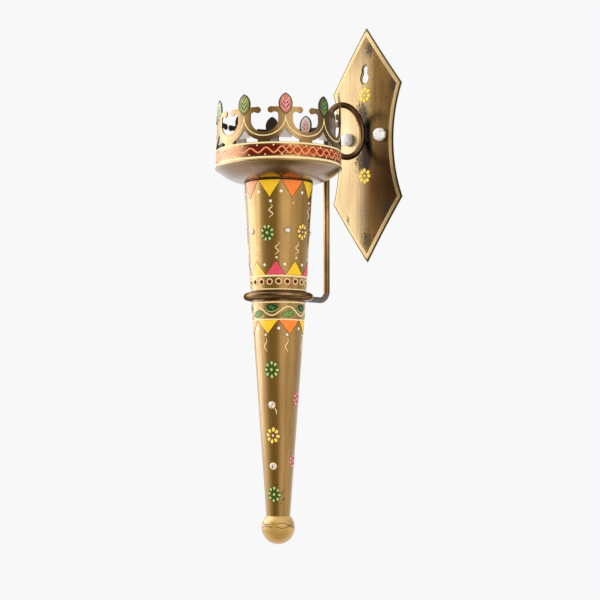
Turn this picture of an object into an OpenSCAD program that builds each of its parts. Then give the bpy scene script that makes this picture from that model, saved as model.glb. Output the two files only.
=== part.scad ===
// Wall candle holder in the shape of a torch, hung on a dished back plate.
// The origin is the centre of the keyhole's round hole, at the back face of the plate.
// +Z is up, +Y points into the wall, and the torch stands out towards -Y.

/* [Back plate] */
// Height of the back plate from tip to tip
plate_h = 214; // [190:1:240]
// Width of the back plate across its corners
plate_w = 83.4; // [76:0.2:96]
// Width of the back plate across the waist between its curved sides
waist_w = 65.2; // [58:0.2:70]
// Height from the lower corners to the upper corners
corner_gap = 102.6; // [90:0.2:120]
// Thickness of the back plate's sheet
plate_t = 1.3; // [1:0.1:2]
// How far the dished middle of the plate stands off the wall
plate_rise = 3; // [2.5:0.1:4]
// Diameter of the keyhole's round hole, which passes over the screw's head
keyhole_d = 8.4; // [7.6:0.1:10]
// Width of the keyhole's slot, which hangs on the screw's shank
slot_w = 5.2; // [4.2:0.1:5.2]
// Height of the slot's round end above the round hole
slot_rise = 8.7; // [7:0.1:11]
// Height of the keyhole's round hole above the middle of the plate
keyhole_up = 60.5; // [50:0.5:66]
// Diameter of the two round stones on the plate
plate_stone_d = 11.8; // [9:0.1:13]
// Height of the round stones' centres above the plate
plate_stone_lift = 2.6; // [1:0.1:4]
// Distance from the plate's centre line to each of its stones
plate_stone_out = 20; // [16:0.5:23]
// Height of the plate's stones above its middle
plate_stone_up = 6.2; // [0:0.1:12]

/* [Bracket] */
// Diameter of the bent rod
rod_d = 5.2; // [4.4:0.1:6.4]
// Distance from the wall to the rod's axis
rod_reach = 53.7; // [48:0.1:62]
// Height of the loop's centre above the middle of the plate
loop_up = 8.5; // [0:0.5:14]
// Depth of the holder ring below the loop's centre
ring_drop = 153.2; // [130:0.1:170]
// Radius of the rod's lower bend, on its axis
bend_r = 8.5; // [7:0.1:12]
// Where the loop's free end meets the rod, as an angle below the loop's centre
loop_end_deg = 30; // [26:1:34]
// Diameter of the holder ring's bar
ring_bar_d = 6; // [5.2:0.1:7]
// Height of the braze pad where the loop meets the plate
loop_weld_h = 17; // [12:0.5:22]
// Width of the braze pad where the loop meets the plate
loop_weld_w = 7.4; // [6.6:0.1:9]
// How far the collar of braze at the holder ring reaches along the rod
ring_weld_reach = 1.8; // [1.4:0.1:3]
// How far the braze pad stands out from the plate
loop_weld_t = 1.8; // [1.2:0.1:2.4]

/* [Torch] */
// Radius of both tubes where they meet, inside the holder ring
seam_r = 23.4; // [21:0.1:26]
// Radius of the upper tube at its top
upper_r = 29.2; // [27:0.1:32]
// Height of the upper tube
upper_h = 97.9; // [84:0.1:112]
// Height of the lower tube
lower_h = 184.6; // [160:0.2:200]
// Radius of the lower tube at its bottom
lower_r = 10.1; // [9:0.1:12]
// Thickness of the tubes' sheet
cone_t = 1; // [0.8:0.1:1.4]
// Free space between the torch and the holder ring
ring_clear = 0.3; // [0.2:0.05:0.6]
// Radius of the ball at the torch's lower end
ball_r = 14; // [13:0.1:17]
// Length of the sleeve inside the seam
sleeve_h = 20; // [14:1:30]
// Thickness of the sleeve inside the seam
sleeve_t = 1.2; // [0.8:0.1:2]
// Diameter of the long bolt
bolt_d = 6; // [5:0.1:8]

/* [Pan and crown] */
// Outer radius of the crown's band
band_r = 53.5; // [50:0.1:57]
// Height of the crown's plain band
band_h = 14.2; // [11:0.1:18]
// Thickness of the crown's sheet
band_t = 0.9; // [0.8:0.1:1.4]
// Number of peaks on the crown
peaks = 10; // [8:2:12]
// Height of the peaks above the band
peak_h = 40.8; // [36:0.1:46]
// How far the hand-cut peaks drift from even spacing, in degrees
peak_drift = 4.6; // [0:0.1:5]
// Direction that the front peak faces, in degrees from +X
front_peak = -38; // [-60:1:0]
// Depth of the pan's floor below the crown's band
pan_depth = 12.3; // [10:0.1:15]
// Radius of the pan's flat floor
floor_r = 28; // [26:0.1:30]
// Thickness of the pan's sheet
pan_t = 1; // [0.8:0.1:1.2]
// Diameter of the pan's rolled edge
bead_d = 1.8; // [1.8:0.1:3.4]
// Free space between the pan and the bent rod
rod_clear = 2.1; // [1.6:0.1:4]

/* [Crown pattern] */
// Width of each peak's stem
stem_w = 12.2; // [10:0.1:14]
// Height of each arch's centre above the band
arch_up = 19.9; // [18.5:0.1:21]
// Height of the gap's foot between arch and band
window_low = 1.2; // [0.8:0.1:2]
// Height of the pointed top of each window
window_top = 12; // [10:0.1:13]
// Width of the foot below each arch
foot_w = 10.1; // [8:0.1:12]
// Width of each leaf
leaf_w = 11.8; // [10:0.1:13]
// Height of each leaf from its widest place to its tip
leaf_half_h = 9.1; // [8:0.1:10]
// Reach of each scroll arm from the peak's middle to the centre of its ball
arm_reach = 12.1; // [11:0.1:12.6]
// Height of the arm's top below the peak's tip
arm_drop = 11.7; // [10.5:0.1:12.5]
// Thickness of each scroll arm
arm_t = 4.2; // [3.4:0.1:4.6]
// Radius of the ball that ends each scroll arm
arm_ball_r = 2.65; // [2.2:0.05:2.8]
// Radius of the inner corner between arm and stem
arm_fillet = 2.4; // [1.6:0.1:2.8]

/* [Stones on the torch] */
// Number of stones around the upper tube
upper_stones_n = 5; // [4:1:6]
// Diameter of the stones on the upper tube
upper_stone_d = 4; // [3:0.1:5]
// Height of the upper stones above the seam
upper_stone_z = 54; // [40:0.5:70]
// Diameter of the stones on the lower tube
lower_stone_d = 5.6; // [4:0.1:6.4]
// Depth of the first pair of lower stones below the seam
lower_stone_z = 91.8; // [80:0.2:100]
// Depth from the first to the second pair of lower stones
lower_stone_step = 51; // [40:0.2:60]

/* [Hidden] */

$fn = 96;
// Segments of the plate's very large radii
big_fn = 1440;
// Overcut that lets a cutting shape pass through a face
cut = 1;
// Gap of a fixed joint, so that fitted pieces touch without overlapping
fit = 0.05;

// Back plate: the outer faces are parts of rings with these two large radii
tip_radius = (pow(plate_h / 2, 2) + pow(plate_rise, 2)) / (2 * plate_rise);
corner_fall = plate_rise - (tip_radius - sqrt(pow(tip_radius, 2) - pow(corner_gap / 2, 2)));
side_radius = (pow(plate_w / 2, 2) + pow(corner_fall, 2)) / (2 * corner_fall);
waist_cut = (plate_w - waist_w) / 2;
waist_radius = (pow(corner_gap / 2, 2) + pow(waist_cut, 2)) / (2 * waist_cut);
plate_z = -keyhole_up;
// The keyhole lies a little lower on the dish than the plate's middle
mid_back_y = -(tip_radius - sqrt(pow(tip_radius, 2) - pow(keyhole_up, 2)));
wall_y = mid_back_y + plate_rise;
ring_centre_y = mid_back_y + tip_radius;

// Height of the plate's front face at a place on it, as its Y
function front_y(x, z) =
    let (side = tip_radius - side_radius + sqrt(pow(side_radius + plate_t, 2) - pow(x, 2)))
    ring_centre_y - sqrt(pow(side, 2) - pow(z - plate_z, 2));

// Bracket
rod_r = rod_d / 2;
ring_bar_r = ring_bar_d / 2;
rod_y = wall_y - rod_reach;
loop_z = plate_z + loop_up;
loop_touch_y = front_y(0, loop_z);
loop_r = (loop_touch_y - fit - rod_y - rod_r) / 2;
loop_y = rod_y + loop_r;
ring_z = loop_z - ring_drop;

// Torch
bead_r = bead_d / 2;
lip_out = 0.8;
lip_r = band_r + lip_out;
torch_y = rod_y - rod_r - rod_clear - lip_r;
ring_r = seam_r + ring_clear + ring_bar_r;
cone_top_z = ring_z + upper_h;
cone_end_z = ring_z - lower_h;
upper_slope = (upper_r - seam_r) / upper_h;
lower_slope = (seam_r - lower_r) / lower_h;
ball_z = cone_end_z - sqrt(pow(ball_r, 2) - pow(lower_r, 2));
spigot_h = 7;
bolt_r = bolt_d / 2;
bolt_clear = 0.2;

// Pan and crown
upstand_drop = 2.4;
floor_z = cone_top_z;
band_z = floor_z + pan_depth;
band_top_z = band_z + band_h;
wall_r = band_r - band_t;
bead_z = band_z - bead_r;
bowl_r = (pow(lip_r - bead_r - floor_r, 2) + pow(bead_z - floor_z, 2)) / (2 * (bead_z - floor_z));
upstand_h = band_h - upstand_drop;
dimple_depth = 2;
dimple_r = 8;
head_t = 1.4;
head_r = 6.8;
washer_t = 0.5;
washer_r = 7.2;
disc_t = 1.2;
disc_top_z = floor_z - dimple_depth;

// Peaks of the crown, counted from the front one
pitch = 360 / peaks;
function peak_angle(k) = pitch * k + peak_drift * sin(pitch * k);
function half_left(k) = (peak_angle(k) - peak_angle(k - 1)) / 2;
function half_right(k) = (peak_angle(k + 1) - peak_angle(k)) / 2;
sheet_mid_r = band_r - band_t / 2;
leaf_r = (pow(leaf_half_h, 2) + pow(leaf_w / 2, 2)) / leaf_w;
leaf_z = peak_h - leaf_half_h;
arm_top = peak_h - arm_drop;
window_rise = window_top - window_low;
// How far one curve of the pattern cuts into the next
bite = 0.3;

// Back plate seen from the front: a diamond with both sides cut back to a curved-in waist
module plate_outline() {
    half = plate_w / 2 * plate_h / (plate_h - corner_gap);
    difference() {
        polygon([[0, plate_h / 2], [half, 0], [0, -plate_h / 2], [-half, 0]]);
        for (side = [-1, 1])
            translate([side * (waist_w / 2 + waist_radius), 0])
                circle(waist_radius, $fn = 360);
    }
}

// Sheet curved both ways, with its middle towards -Y
module dished_sheet() {
    sweep_deg = 8;
    translate([0, ring_centre_y, plate_z])
        rotate([-90, 0, 0])
            rotate([0, 90, 0])
                rotate([0, 0, -sweep_deg / 2])
                    rotate_extrude(angle = sweep_deg, $fn = big_fn)
                        intersection() {
                            translate([tip_radius - side_radius, 0])
                                difference() {
                                    circle(side_radius + plate_t, $fn = big_fn);
                                    circle(side_radius, $fn = big_fn);
                                }
                            translate([tip_radius - 2 * plate_rise, -plate_w])
                                square([4 * plate_rise, 2 * plate_w]);
                        }
}

module keyhole() {
    reach = 2 * plate_rise + cut;
    rotate([90, 0, 0]) {
        cylinder(d = keyhole_d, h = 2 * reach, center = true);
        translate([0, slot_rise, 0])
            cylinder(d = slot_w, h = 2 * reach, center = true);
        translate([-slot_w / 2, 0, -reach])
            cube([slot_w, slot_rise, 2 * reach]);
    }
}

module back_plate() {
    color("goldenrod")
        difference() {
            intersection() {
                dished_sheet();
                translate([0, wall_y + cut, plate_z])
                    rotate([90, 0, 0])
                        linear_extrude(4 * plate_rise + cut)
                            plate_outline();
            }
            keyhole();
        }
}

// Domed stone on a round foot, with its flat back at the origin and its dome towards +Z
module stone(d, rise) {
    ball = (pow(d / 2, 2) + pow(rise, 2)) / (2 * rise);
    foot = 0.5;
    cylinder(d = d, h = foot);
    translate([0, 0, foot])
        intersection() {
            translate([0, 0, rise - ball])
                sphere(ball);
            cylinder(d = d, h = rise);
        }
}

module plate_stones() {
    stone_z = plate_z + plate_stone_up;
    // Slope of the dished plate below each stone
    lean = asin(plate_stone_out / side_radius);
    color("white")
        for (side = [-1, 1])
            translate([side * plate_stone_out, front_y(plate_stone_out, stone_z) - fit, stone_z])
                rotate([90, 0, side * lean])
                    intersection() {
                        translate([0, 0, plate_stone_lift])
                            sphere(d = plate_stone_d);
                        cylinder(r = plate_stone_d, h = plate_stone_d);
                    }
}

// Torus of the loop around the X axis, from the rod's axis up and over to its free end
module loop_bar(extra_r = 0) {
    translate([0, loop_y, loop_z])
        rotate([90, 0, -90])
            rotate_extrude(angle = 360 - loop_end_deg)
                translate([loop_r, 0])
                    circle(rod_r + extra_r);
}

module bracket_rod() {
    leg_y = rod_y - bend_r;
    color("saddlebrown")
        difference() {
            union() {
                loop_bar();
                translate([0, rod_y, ring_z + bend_r])
                    cylinder(r = rod_r, h = loop_z - ring_z - bend_r);
                translate([0, leg_y, ring_z + bend_r])
                    rotate([90, 0, 90])
                        rotate([0, 0, -90])
                            rotate_extrude(angle = 90)
                                translate([bend_r, 0])
                                    circle(rod_r);
                translate([0, leg_y, ring_z])
                    rotate([90, 0, 0])
                        cylinder(r = rod_r, h = leg_y - torch_y - ring_r);
            }
            ring_bar(fit);
        }
}

// Braze pad between the loop and the plate, with a flat back on the gently dished sheet
module loop_weld() {
    pad_r = loop_weld_w / 2;
    pad_mid = loop_weld_h / 2 - pad_r;
    color("dimgray")
        difference() {
            translate([0, loop_touch_y - fit, loop_z])
                rotate([90, 0, 0]) {
                    for (side = [-1, 1])
                        translate([0, side * pad_mid, 0])
                            cylinder(r = pad_r, h = loop_weld_t);
                    translate([-pad_r, -pad_mid, 0])
                        cube([loop_weld_w, 2 * pad_mid, loop_weld_t]);
                }
            loop_bar(fit);
        }
}

module ring_bar(extra_r = 0) {
    translate([0, torch_y, ring_z])
        rotate_extrude()
            translate([ring_r, 0])
                circle(ring_bar_r + extra_r);
}

module holder_ring() {
    color("saddlebrown")
        ring_bar();
}

// Collar of braze around the end of the rod's foot
module ring_weld() {
    weld_out = ring_bar_r + ring_weld_reach;
    color("dimgray")
        difference() {
            translate([0, torch_y + ring_r + weld_out, ring_z])
                rotate([90, 0, 0])
                    cylinder(r = rod_r + 1, h = weld_out - rod_r / 2);
            ring_bar(fit);
            translate([0, torch_y + ring_r + weld_out + cut, ring_z])
                rotate([90, 0, 0])
                    cylinder(r = rod_r + fit, h = weld_out + 2 * cut);
        }
}

module on_torch(z) {
    translate([0, torch_y, z])
        children();
}

module upper_cone() {
    color("darkkhaki")
        on_torch(ring_z)
            difference() {
                cylinder(r1 = seam_r, r2 = upper_r, h = upper_h);
                translate([0, 0, -cut])
                    cylinder(
                        r1 = seam_r - cone_t - cut * upper_slope,
                        r2 = upper_r - cone_t + cut * upper_slope,
                        h = upper_h + 2 * cut
                    );
            }
}

module lower_cone() {
    color("darkkhaki")
        on_torch(cone_end_z)
            difference() {
                cylinder(r1 = lower_r, r2 = seam_r, h = lower_h);
                translate([0, 0, -cut])
                    cylinder(
                        r1 = lower_r - cone_t - cut * lower_slope,
                        r2 = seam_r - cone_t + cut * lower_slope,
                        h = lower_h + 2 * cut
                    );
            }
}

// Sleeve that follows the lower tube below the seam and stands straight above it
module cone_sleeve() {
    top_r = seam_r - cone_t - fit;
    end_r = top_r - lower_slope * sleeve_h / 2;
    color("gray")
        on_torch(ring_z)
            rotate_extrude()
                polygon([
                    [top_r, sleeve_h / 2], [top_r, 0], [end_r, -sleeve_h / 2],
                    [end_r - sleeve_t, -sleeve_h / 2], [top_r - sleeve_t, 0],
                    [top_r - sleeve_t, sleeve_h / 2]
                ]);
}

module top_disc() {
    under_r = upper_r - cone_t - fit - upper_slope * (dimple_depth + pan_t + disc_t);
    color("gray")
        on_torch(disc_top_z - disc_t)
            difference() {
                cylinder(r = under_r, h = disc_t);
                translate([0, 0, -cut])
                    cylinder(r = bolt_r + bolt_clear, h = disc_t + 2 * cut);
            }
}

// Long bolt from the pan's dimple down into the ball
module tie_bolt() {
    head_z = disc_top_z + pan_t + washer_t;
    tip_z = cone_end_z - spigot_h;
    color("silver")
        on_torch(0) {
            translate([0, 0, tip_z])
                cylinder(r = bolt_r, h = head_z - tip_z + head_t / 2);
            translate([0, 0, head_z])
                cylinder(r = head_r, h = head_t);
        }
}

module pan_washer() {
    color("silver")
        on_torch(disc_top_z + pan_t)
            difference() {
                cylinder(r = washer_r, h = washer_t);
                translate([0, 0, -cut])
                    cylinder(r = bolt_r + bolt_clear, h = washer_t + 2 * cut);
            }
}

// Turned ball with a spigot that plugs the lower tube
module ball_finial() {
    spigot_r = lower_r - cone_t - fit;
    color("goldenrod")
        on_torch(0)
            difference() {
                union() {
                    intersection() {
                        translate([0, 0, ball_z])
                            sphere(ball_r);
                        translate([-ball_r, -ball_r, cone_end_z - 2 * ball_r])
                            cube([2 * ball_r, 2 * ball_r, 2 * ball_r]);
                    }
                    translate([0, 0, cone_end_z - cut])
                        cylinder(r = spigot_r, h = spigot_h + cut);
                }
                translate([0, 0, cone_end_z - spigot_h - cut])
                    cylinder(r = bolt_r + fit, h = 2 * spigot_h + 2 * cut);
            }
}

// Half section of the pan: floor with a dimple, round bowl, rolled edge and a wall inside the band
module pan_section() {
    bowl_z = floor_z + bowl_r;
    edge_r = lip_r - bead_r;
    difference() {
        union() {
            translate([0, floor_z])
                square([floor_r, pan_t]);
            translate([0, floor_z - dimple_depth])
                square([dimple_r + pan_t, dimple_depth + pan_t]);
            intersection() {
                translate([floor_r, bowl_z])
                    difference() {
                        circle(bowl_r, $fn = 180);
                        circle(bowl_r - pan_t, $fn = 180);
                    }
                translate([floor_r, floor_z])
                    square([edge_r - floor_r, bead_z - floor_z]);
            }
            translate([edge_r, bead_z])
                circle(bead_r, $fn = 32);
            translate([wall_r - pan_t, bead_z])
                square([pan_t - fit, bead_r + upstand_h]);
        }
        translate([0, floor_z - dimple_depth + pan_t])
            square([dimple_r, dimple_depth + cut]);
        translate([0, floor_z - dimple_depth - cut])
            square([bolt_r + bolt_clear, dimple_depth + pan_t + 2 * cut]);
    }
}

module candle_pan() {
    color("peru")
        on_torch(0)
            rotate_extrude()
                pan_section();
}

// One scroll arm of a peak, on its right side
module scroll_arm() {
    stem = stem_w / 2;
    translate([0, arm_top - arm_t])
        square([arm_reach - arm_ball_r / 4, arm_t]);
    translate([arm_reach, arm_top - arm_ball_r + bite / 2])
        circle(arm_ball_r, $fn = 32);
    difference() {
        translate([stem - cut, arm_top - arm_t - arm_fillet])
            square([arm_fillet + cut, arm_fillet + cut]);
        translate([stem + arm_fillet, arm_top - arm_t - arm_fillet])
            circle(arm_fillet, $fn = 32);
    }
}

// Round hole of one arch, whose middle lies half a pitch from the peak
module arch_hole(half) {
    translate([half, arch_up])
        circle(half - stem_w / 2 + bite);
}

// Lower edge of one arch, which leaves the window below it
module arch_body(half) {
    outer_r = (pow(half, 2) + pow(window_rise, 2)) / (2 * window_rise);
    translate([half, window_low + outer_r])
        circle(outer_r);
}

// One peak of the crown, rolled out flat as seen from outside
module peak_outline(k) {
    left = sheet_mid_r * sin(half_left(k));
    right = sheet_mid_r * sin(half_right(k));
    seam = 0.3;
    window_w = left + right - foot_w;
    difference() {
        translate([-left - seam, -seam])
            square([left + right + 2 * seam, arch_up - cut + seam]);
        arch_hole(right);
        mirror([1, 0])
            arch_hole(left);
        difference() {
            translate([foot_w / 2 - left, 0])
                square([window_w, window_top + cut]);
            arch_body(right);
            mirror([1, 0])
                arch_body(left);
        }
    }
    translate([-stem_w / 2, window_top + cut])
        square([stem_w, arm_top - window_top - 2 * cut]);
    scroll_arm();
    mirror([1, 0])
        scroll_arm();
    intersection_for (side = [-1, 1])
        translate([side * (leaf_r - leaf_w / 2), leaf_z])
            circle(leaf_r);
}

module crown_band() {
    color("darkgoldenrod")
        on_torch(0) {
            translate([0, 0, band_z])
                difference() {
                    cylinder(r = band_r, h = band_h);
                    translate([0, 0, -cut])
                        cylinder(r = wall_r, h = band_h + 2 * cut);
                }
            intersection() {
                translate([0, 0, band_top_z - cut])
                    difference() {
                        cylinder(r = band_r, h = peak_h + 2 * cut);
                        translate([0, 0, -cut])
                            cylinder(r = wall_r, h = peak_h + 4 * cut);
                    }
                for (k = [0 : peaks - 1])
                    rotate([0, 0, front_peak + peak_angle(k)])
                        translate([band_r / 2, 0, band_top_z])
                            rotate([90, 0, 90])
                                linear_extrude(band_r)
                                    peak_outline(k);
            }
        }
}

// A stone on a tube's side, at an angle from the front peak's side of the torch
module tube_stone(angle, z, r, slope, d) {
    on_torch(z)
        rotate([0, 0, angle])
            translate([r + fit, 0, 0])
                rotate([0, 90 + atan(slope), 0])
                    stone(d, d / 4);
}

module upper_stones() {
    first_angle = -27.5;
    step = 360 / upper_stones_n;
    color("white")
        for (i = [0 : upper_stones_n - 1])
            tube_stone(
                first_angle + i * step, ring_z + upper_stone_z,
                seam_r + upper_slope * upper_stone_z, upper_slope, upper_stone_d
            );
}

module lower_stones() {
    first_angle = -63;
    color("white")
        for (side = [0, 1], row = [0, 1])
            tube_stone(
                first_angle + 180 * side,
                ring_z - lower_stone_z - row * lower_stone_step,
                seam_r - lower_slope * (lower_stone_z + row * lower_stone_step),
                lower_slope, lower_stone_d
            );
}

back_plate();
plate_stones();
bracket_rod();
loop_weld();
holder_ring();
ring_weld();
upper_cone();
lower_cone();
cone_sleeve();
top_disc();
tie_bolt();
ball_finial();
candle_pan();
pan_washer();
crown_band();
upper_stones();
lower_stones();
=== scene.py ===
"""Looks of the wall candle holder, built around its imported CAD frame.

Painted ornament is thin raised mesh that follows the surface it sits on.
Sizes and heights are millimetres, which MM turns into the frame's metres.
Angles on the torch are degrees from its painted front, positive to the right.
Colours are in linear light.
"""
import math
import random

import bpy
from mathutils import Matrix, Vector


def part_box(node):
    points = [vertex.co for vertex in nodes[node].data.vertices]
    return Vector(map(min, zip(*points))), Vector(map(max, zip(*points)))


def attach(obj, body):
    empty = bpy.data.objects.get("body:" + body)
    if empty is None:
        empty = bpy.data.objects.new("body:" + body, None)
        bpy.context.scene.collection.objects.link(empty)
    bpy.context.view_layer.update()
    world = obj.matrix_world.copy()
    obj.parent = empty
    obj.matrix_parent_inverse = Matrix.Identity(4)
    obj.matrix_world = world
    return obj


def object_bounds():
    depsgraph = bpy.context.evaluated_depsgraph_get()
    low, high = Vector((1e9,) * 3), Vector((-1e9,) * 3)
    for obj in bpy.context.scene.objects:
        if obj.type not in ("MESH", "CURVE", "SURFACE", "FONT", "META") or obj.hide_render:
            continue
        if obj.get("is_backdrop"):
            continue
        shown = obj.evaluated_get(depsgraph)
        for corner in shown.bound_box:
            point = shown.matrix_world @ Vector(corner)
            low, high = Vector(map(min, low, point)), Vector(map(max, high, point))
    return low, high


MM = 0.001
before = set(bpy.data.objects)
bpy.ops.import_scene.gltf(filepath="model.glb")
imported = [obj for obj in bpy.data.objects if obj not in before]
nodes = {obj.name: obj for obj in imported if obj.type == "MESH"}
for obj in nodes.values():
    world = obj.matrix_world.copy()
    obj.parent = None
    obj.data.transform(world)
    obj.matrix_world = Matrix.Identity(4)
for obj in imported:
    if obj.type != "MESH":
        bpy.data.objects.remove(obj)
cad_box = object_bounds()
rng = random.Random(11)


def new_object(name, data):
    made = bpy.data.objects.new(name, data)
    bpy.context.scene.collection.objects.link(made)
    return made


# Places on the frame


def rim_radius(node, z):
    """Largest distance from the torch's axis of a node's points at height z."""
    return max(
        math.hypot(v.co.x - axis.x, v.co.y - axis.y)
        for v in nodes[node].data.vertices
        if abs(v.co.z - z) < 0.01 * MM
    )


upper_lo, upper_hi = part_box("upper_cone")
lower_lo, lower_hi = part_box("lower_cone")
band_lo, band_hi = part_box("crown_band")
plate_lo, plate_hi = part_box("back_plate")
axis = (upper_lo + upper_hi) / 2
seam_z = upper_lo.z
seam_r = rim_radius("lower_cone", lower_hi.z)
top_r = rim_radius("upper_cone", upper_hi.z)
end_r = rim_radius("lower_cone", lower_lo.z)
band_r = (band_hi.x - band_lo.x) / 2
sheet_t = 0.9 * MM
plate_mid_z = (plate_lo.z + plate_hi.z) / 2
torch_up_mm = (upper_hi.z - seam_z) / MM

# The direction that the painted front of the torch faces
PAINT_FRONT = -45
# Radii of the dished back plate, up and down and side to side
DISH_R_TALL = 1.911
DISH_R_WIDE = 0.3787


def tube_radius(z):
    if z >= seam_z:
        return seam_r + (top_r - seam_r) * (z - seam_z) / (upper_hi.z - seam_z)
    return seam_r - (seam_r - end_r) * (seam_z - z) / (seam_z - lower_lo.z)


def on_tube(deg, up):
    """Maps across, up and out, from a place on the torch's tubes, to a point."""
    z0 = seam_z + up * MM
    a0 = math.radians(deg + PAINT_FRONT)
    r0 = tube_radius(z0)

    def place(s, t, h):
        z = z0 + t * MM
        a = a0 + s * MM / r0
        r = tube_radius(z) + h * MM
        return (axis.x + r * math.cos(a), axis.y + r * math.sin(a), z)

    return place


def on_band(deg, up, inside=False):
    """As on_tube, on the crown's sheet, with up counted from its lower edge."""
    a0 = math.radians(deg + PAINT_FRONT)
    z0 = band_lo.z + up * MM
    face = -1 if inside else 1
    r0 = band_r - sheet_t if inside else band_r

    def place(s, t, h):
        a = a0 + face * s * MM / r0
        r = r0 + face * h * MM
        return (axis.x + r * math.cos(a), axis.y + r * math.sin(a), z0 + t * MM)

    return place


def on_plate(across, up):
    """As on_tube, on the front of the back plate, with up counted from its middle."""

    def place(s, t, h):
        x = (across + s) * MM
        z = (up + t) * MM
        bulge = z * z / (2 * DISH_R_TALL) + x * x / (2 * DISH_R_WIDE)
        return (x, plate_lo.y + bulge - h * MM, plate_mid_z + z)

    return place


# Shapes of paint: outlines and paths are lists of (across, up) in millimetres

# Shares of the outline's size and of the rise, from the rim inwards
FLAT = ((1.0, -0.6), (0.97, 0.5), (0.88, 0.92), (0.66, 1.0), (0.4, 1.0), (0.18, 1.0))
DOME = ((1.0, -0.4), (0.93, 0.35), (0.75, 0.7), (0.45, 0.93))
# Shares of half a line's width and of its rise, from side to side
STROKE = ((-1.0, -0.5), (-0.62, 0.72), (0.0, 1.0), (0.62, 0.72), (1.0, -0.5))


def circle(radius, count):
    turn = 2 * math.pi / count
    return [(radius * math.cos(i * turn), radius * math.sin(i * turn)) for i in range(count)]


def along(corners, step=1.4):
    """Points along the edges of a polygon, a step apart at most."""
    points = []
    for (s0, t0), (s1, t1) in zip(corners, corners[1:] + corners[:1]):
        count = max(1, math.ceil(math.hypot(s1 - s0, t1 - t0) / step))
        for i in range(count):
            points.append((s0 + (s1 - s0) * i / count, t0 + (t1 - t0) * i / count))
    return points


def moved(points, across=0.0, up=0.0, turn=0.0):
    c, s = math.cos(math.radians(turn)), math.sin(math.radians(turn))
    return [(across + p * c - q * s, up + p * s + q * c) for p, q in points]


def petal(length, width, count=14):
    """Teardrop that points to (0, 0), with its round end away from it."""
    points = []
    for i in range(count):
        a = 2 * math.pi * i / count
        bulge = 0.5 * width * math.sin(a) * (0.72 - 0.28 * math.cos(a - math.pi))
        points.append((length * 0.5 * (1 + math.cos(a)), bulge * 1.25))
    return points


def leaf(width, half_h, count=22):
    """Pointed oval with its tips up and down."""
    r = (half_h**2 + (width / 2) ** 2) / width
    reach = math.asin(min(1, half_h / r))
    right = []
    for i in range(count // 2):
        a = -reach + 2 * reach * i / (count // 2)
        right.append((r * math.cos(a) - r + width / 2, r * math.sin(a)))
    return right + [(-s, -t) for s, t in right]


def blob(outline, rise, profile=FLAT):
    """Filled patch with a raised middle, inside an outline that runs anticlockwise."""
    n = len(outline)
    cs = sum(p[0] for p in outline) / n
    ct = sum(p[1] for p in outline) / n
    verts, faces = [], []
    for size, lift in profile:
        verts += [(cs + (s - cs) * size, ct + (t - ct) * size, lift * rise) for s, t in outline]
    verts.append((cs, ct, rise))
    for ring in range(len(profile) - 1):
        for i in range(n):
            j = (i + 1) % n
            faces.append((ring * n + i, ring * n + j, (ring + 1) * n + j, (ring + 1) * n + i))
    last = (len(profile) - 1) * n
    faces += [(last + i, last + (i + 1) % n, len(verts) - 1) for i in range(n)]
    return verts, faces


def stroke(path, width, rise, closed=False, taper=0.35):
    """Raised line along a path; taper is the share of its width left at the ends."""
    verts, faces = [], []
    n = len(path)
    for i, (s, t) in enumerate(path):
        back = path[i - 1] if closed or i else path[i]
        ahead = path[(i + 1) % n] if closed or i < n - 1 else path[i]
        ds, dt = ahead[0] - back[0], ahead[1] - back[1]
        size = math.hypot(ds, dt) or 1.0
        half = width / 2
        if not closed:
            half *= min(1.0, taper + (1 - taper) * 3 * min(i, n - 1 - i) / n)
        for side, lift in STROKE:
            verts.append((s - dt / size * side * half, t + ds / size * side * half, lift * rise))
    rows = n if closed else n - 1
    for i in range(rows):
        for j in range(len(STROKE) - 1):
            a, b = i * len(STROKE) + j, ((i + 1) % n) * len(STROKE) + j
            faces.append((a, b, b + 1, a + 1))
    return verts, faces


def smooth_path(points, parts=5):
    """Smooth curve through a few points."""
    out = []
    for i in range(len(points) - 1):
        p0, p1 = points[max(i - 1, 0)], points[i]
        p2, p3 = points[i + 1], points[min(i + 2, len(points) - 1)]
        for k in range(parts):
            u = k / parts
            w = (
                (-u + 2 * u * u - u**3) / 2,
                (2 - 5 * u * u + 3 * u**3) / 2,
                (u + 4 * u * u - 3 * u**3) / 2,
                (u**3 - u * u) / 2,
            )
            out.append(tuple(sum(w[m] * p[c] for m, p in enumerate((p0, p1, p2, p3))) for c in (0, 1)))
    return out + [points[-1]]


def squiggle(length, swing, waves=1.75, lean=0.0):
    """Wavy line that hangs down from (0, 0)."""
    steps = 26
    path = []
    for i in range(steps + 1):
        u = i / steps
        path.append((swing * math.sin(2 * math.pi * waves * u) + lean * u, -length * u))
    return path


# Materials


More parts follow.
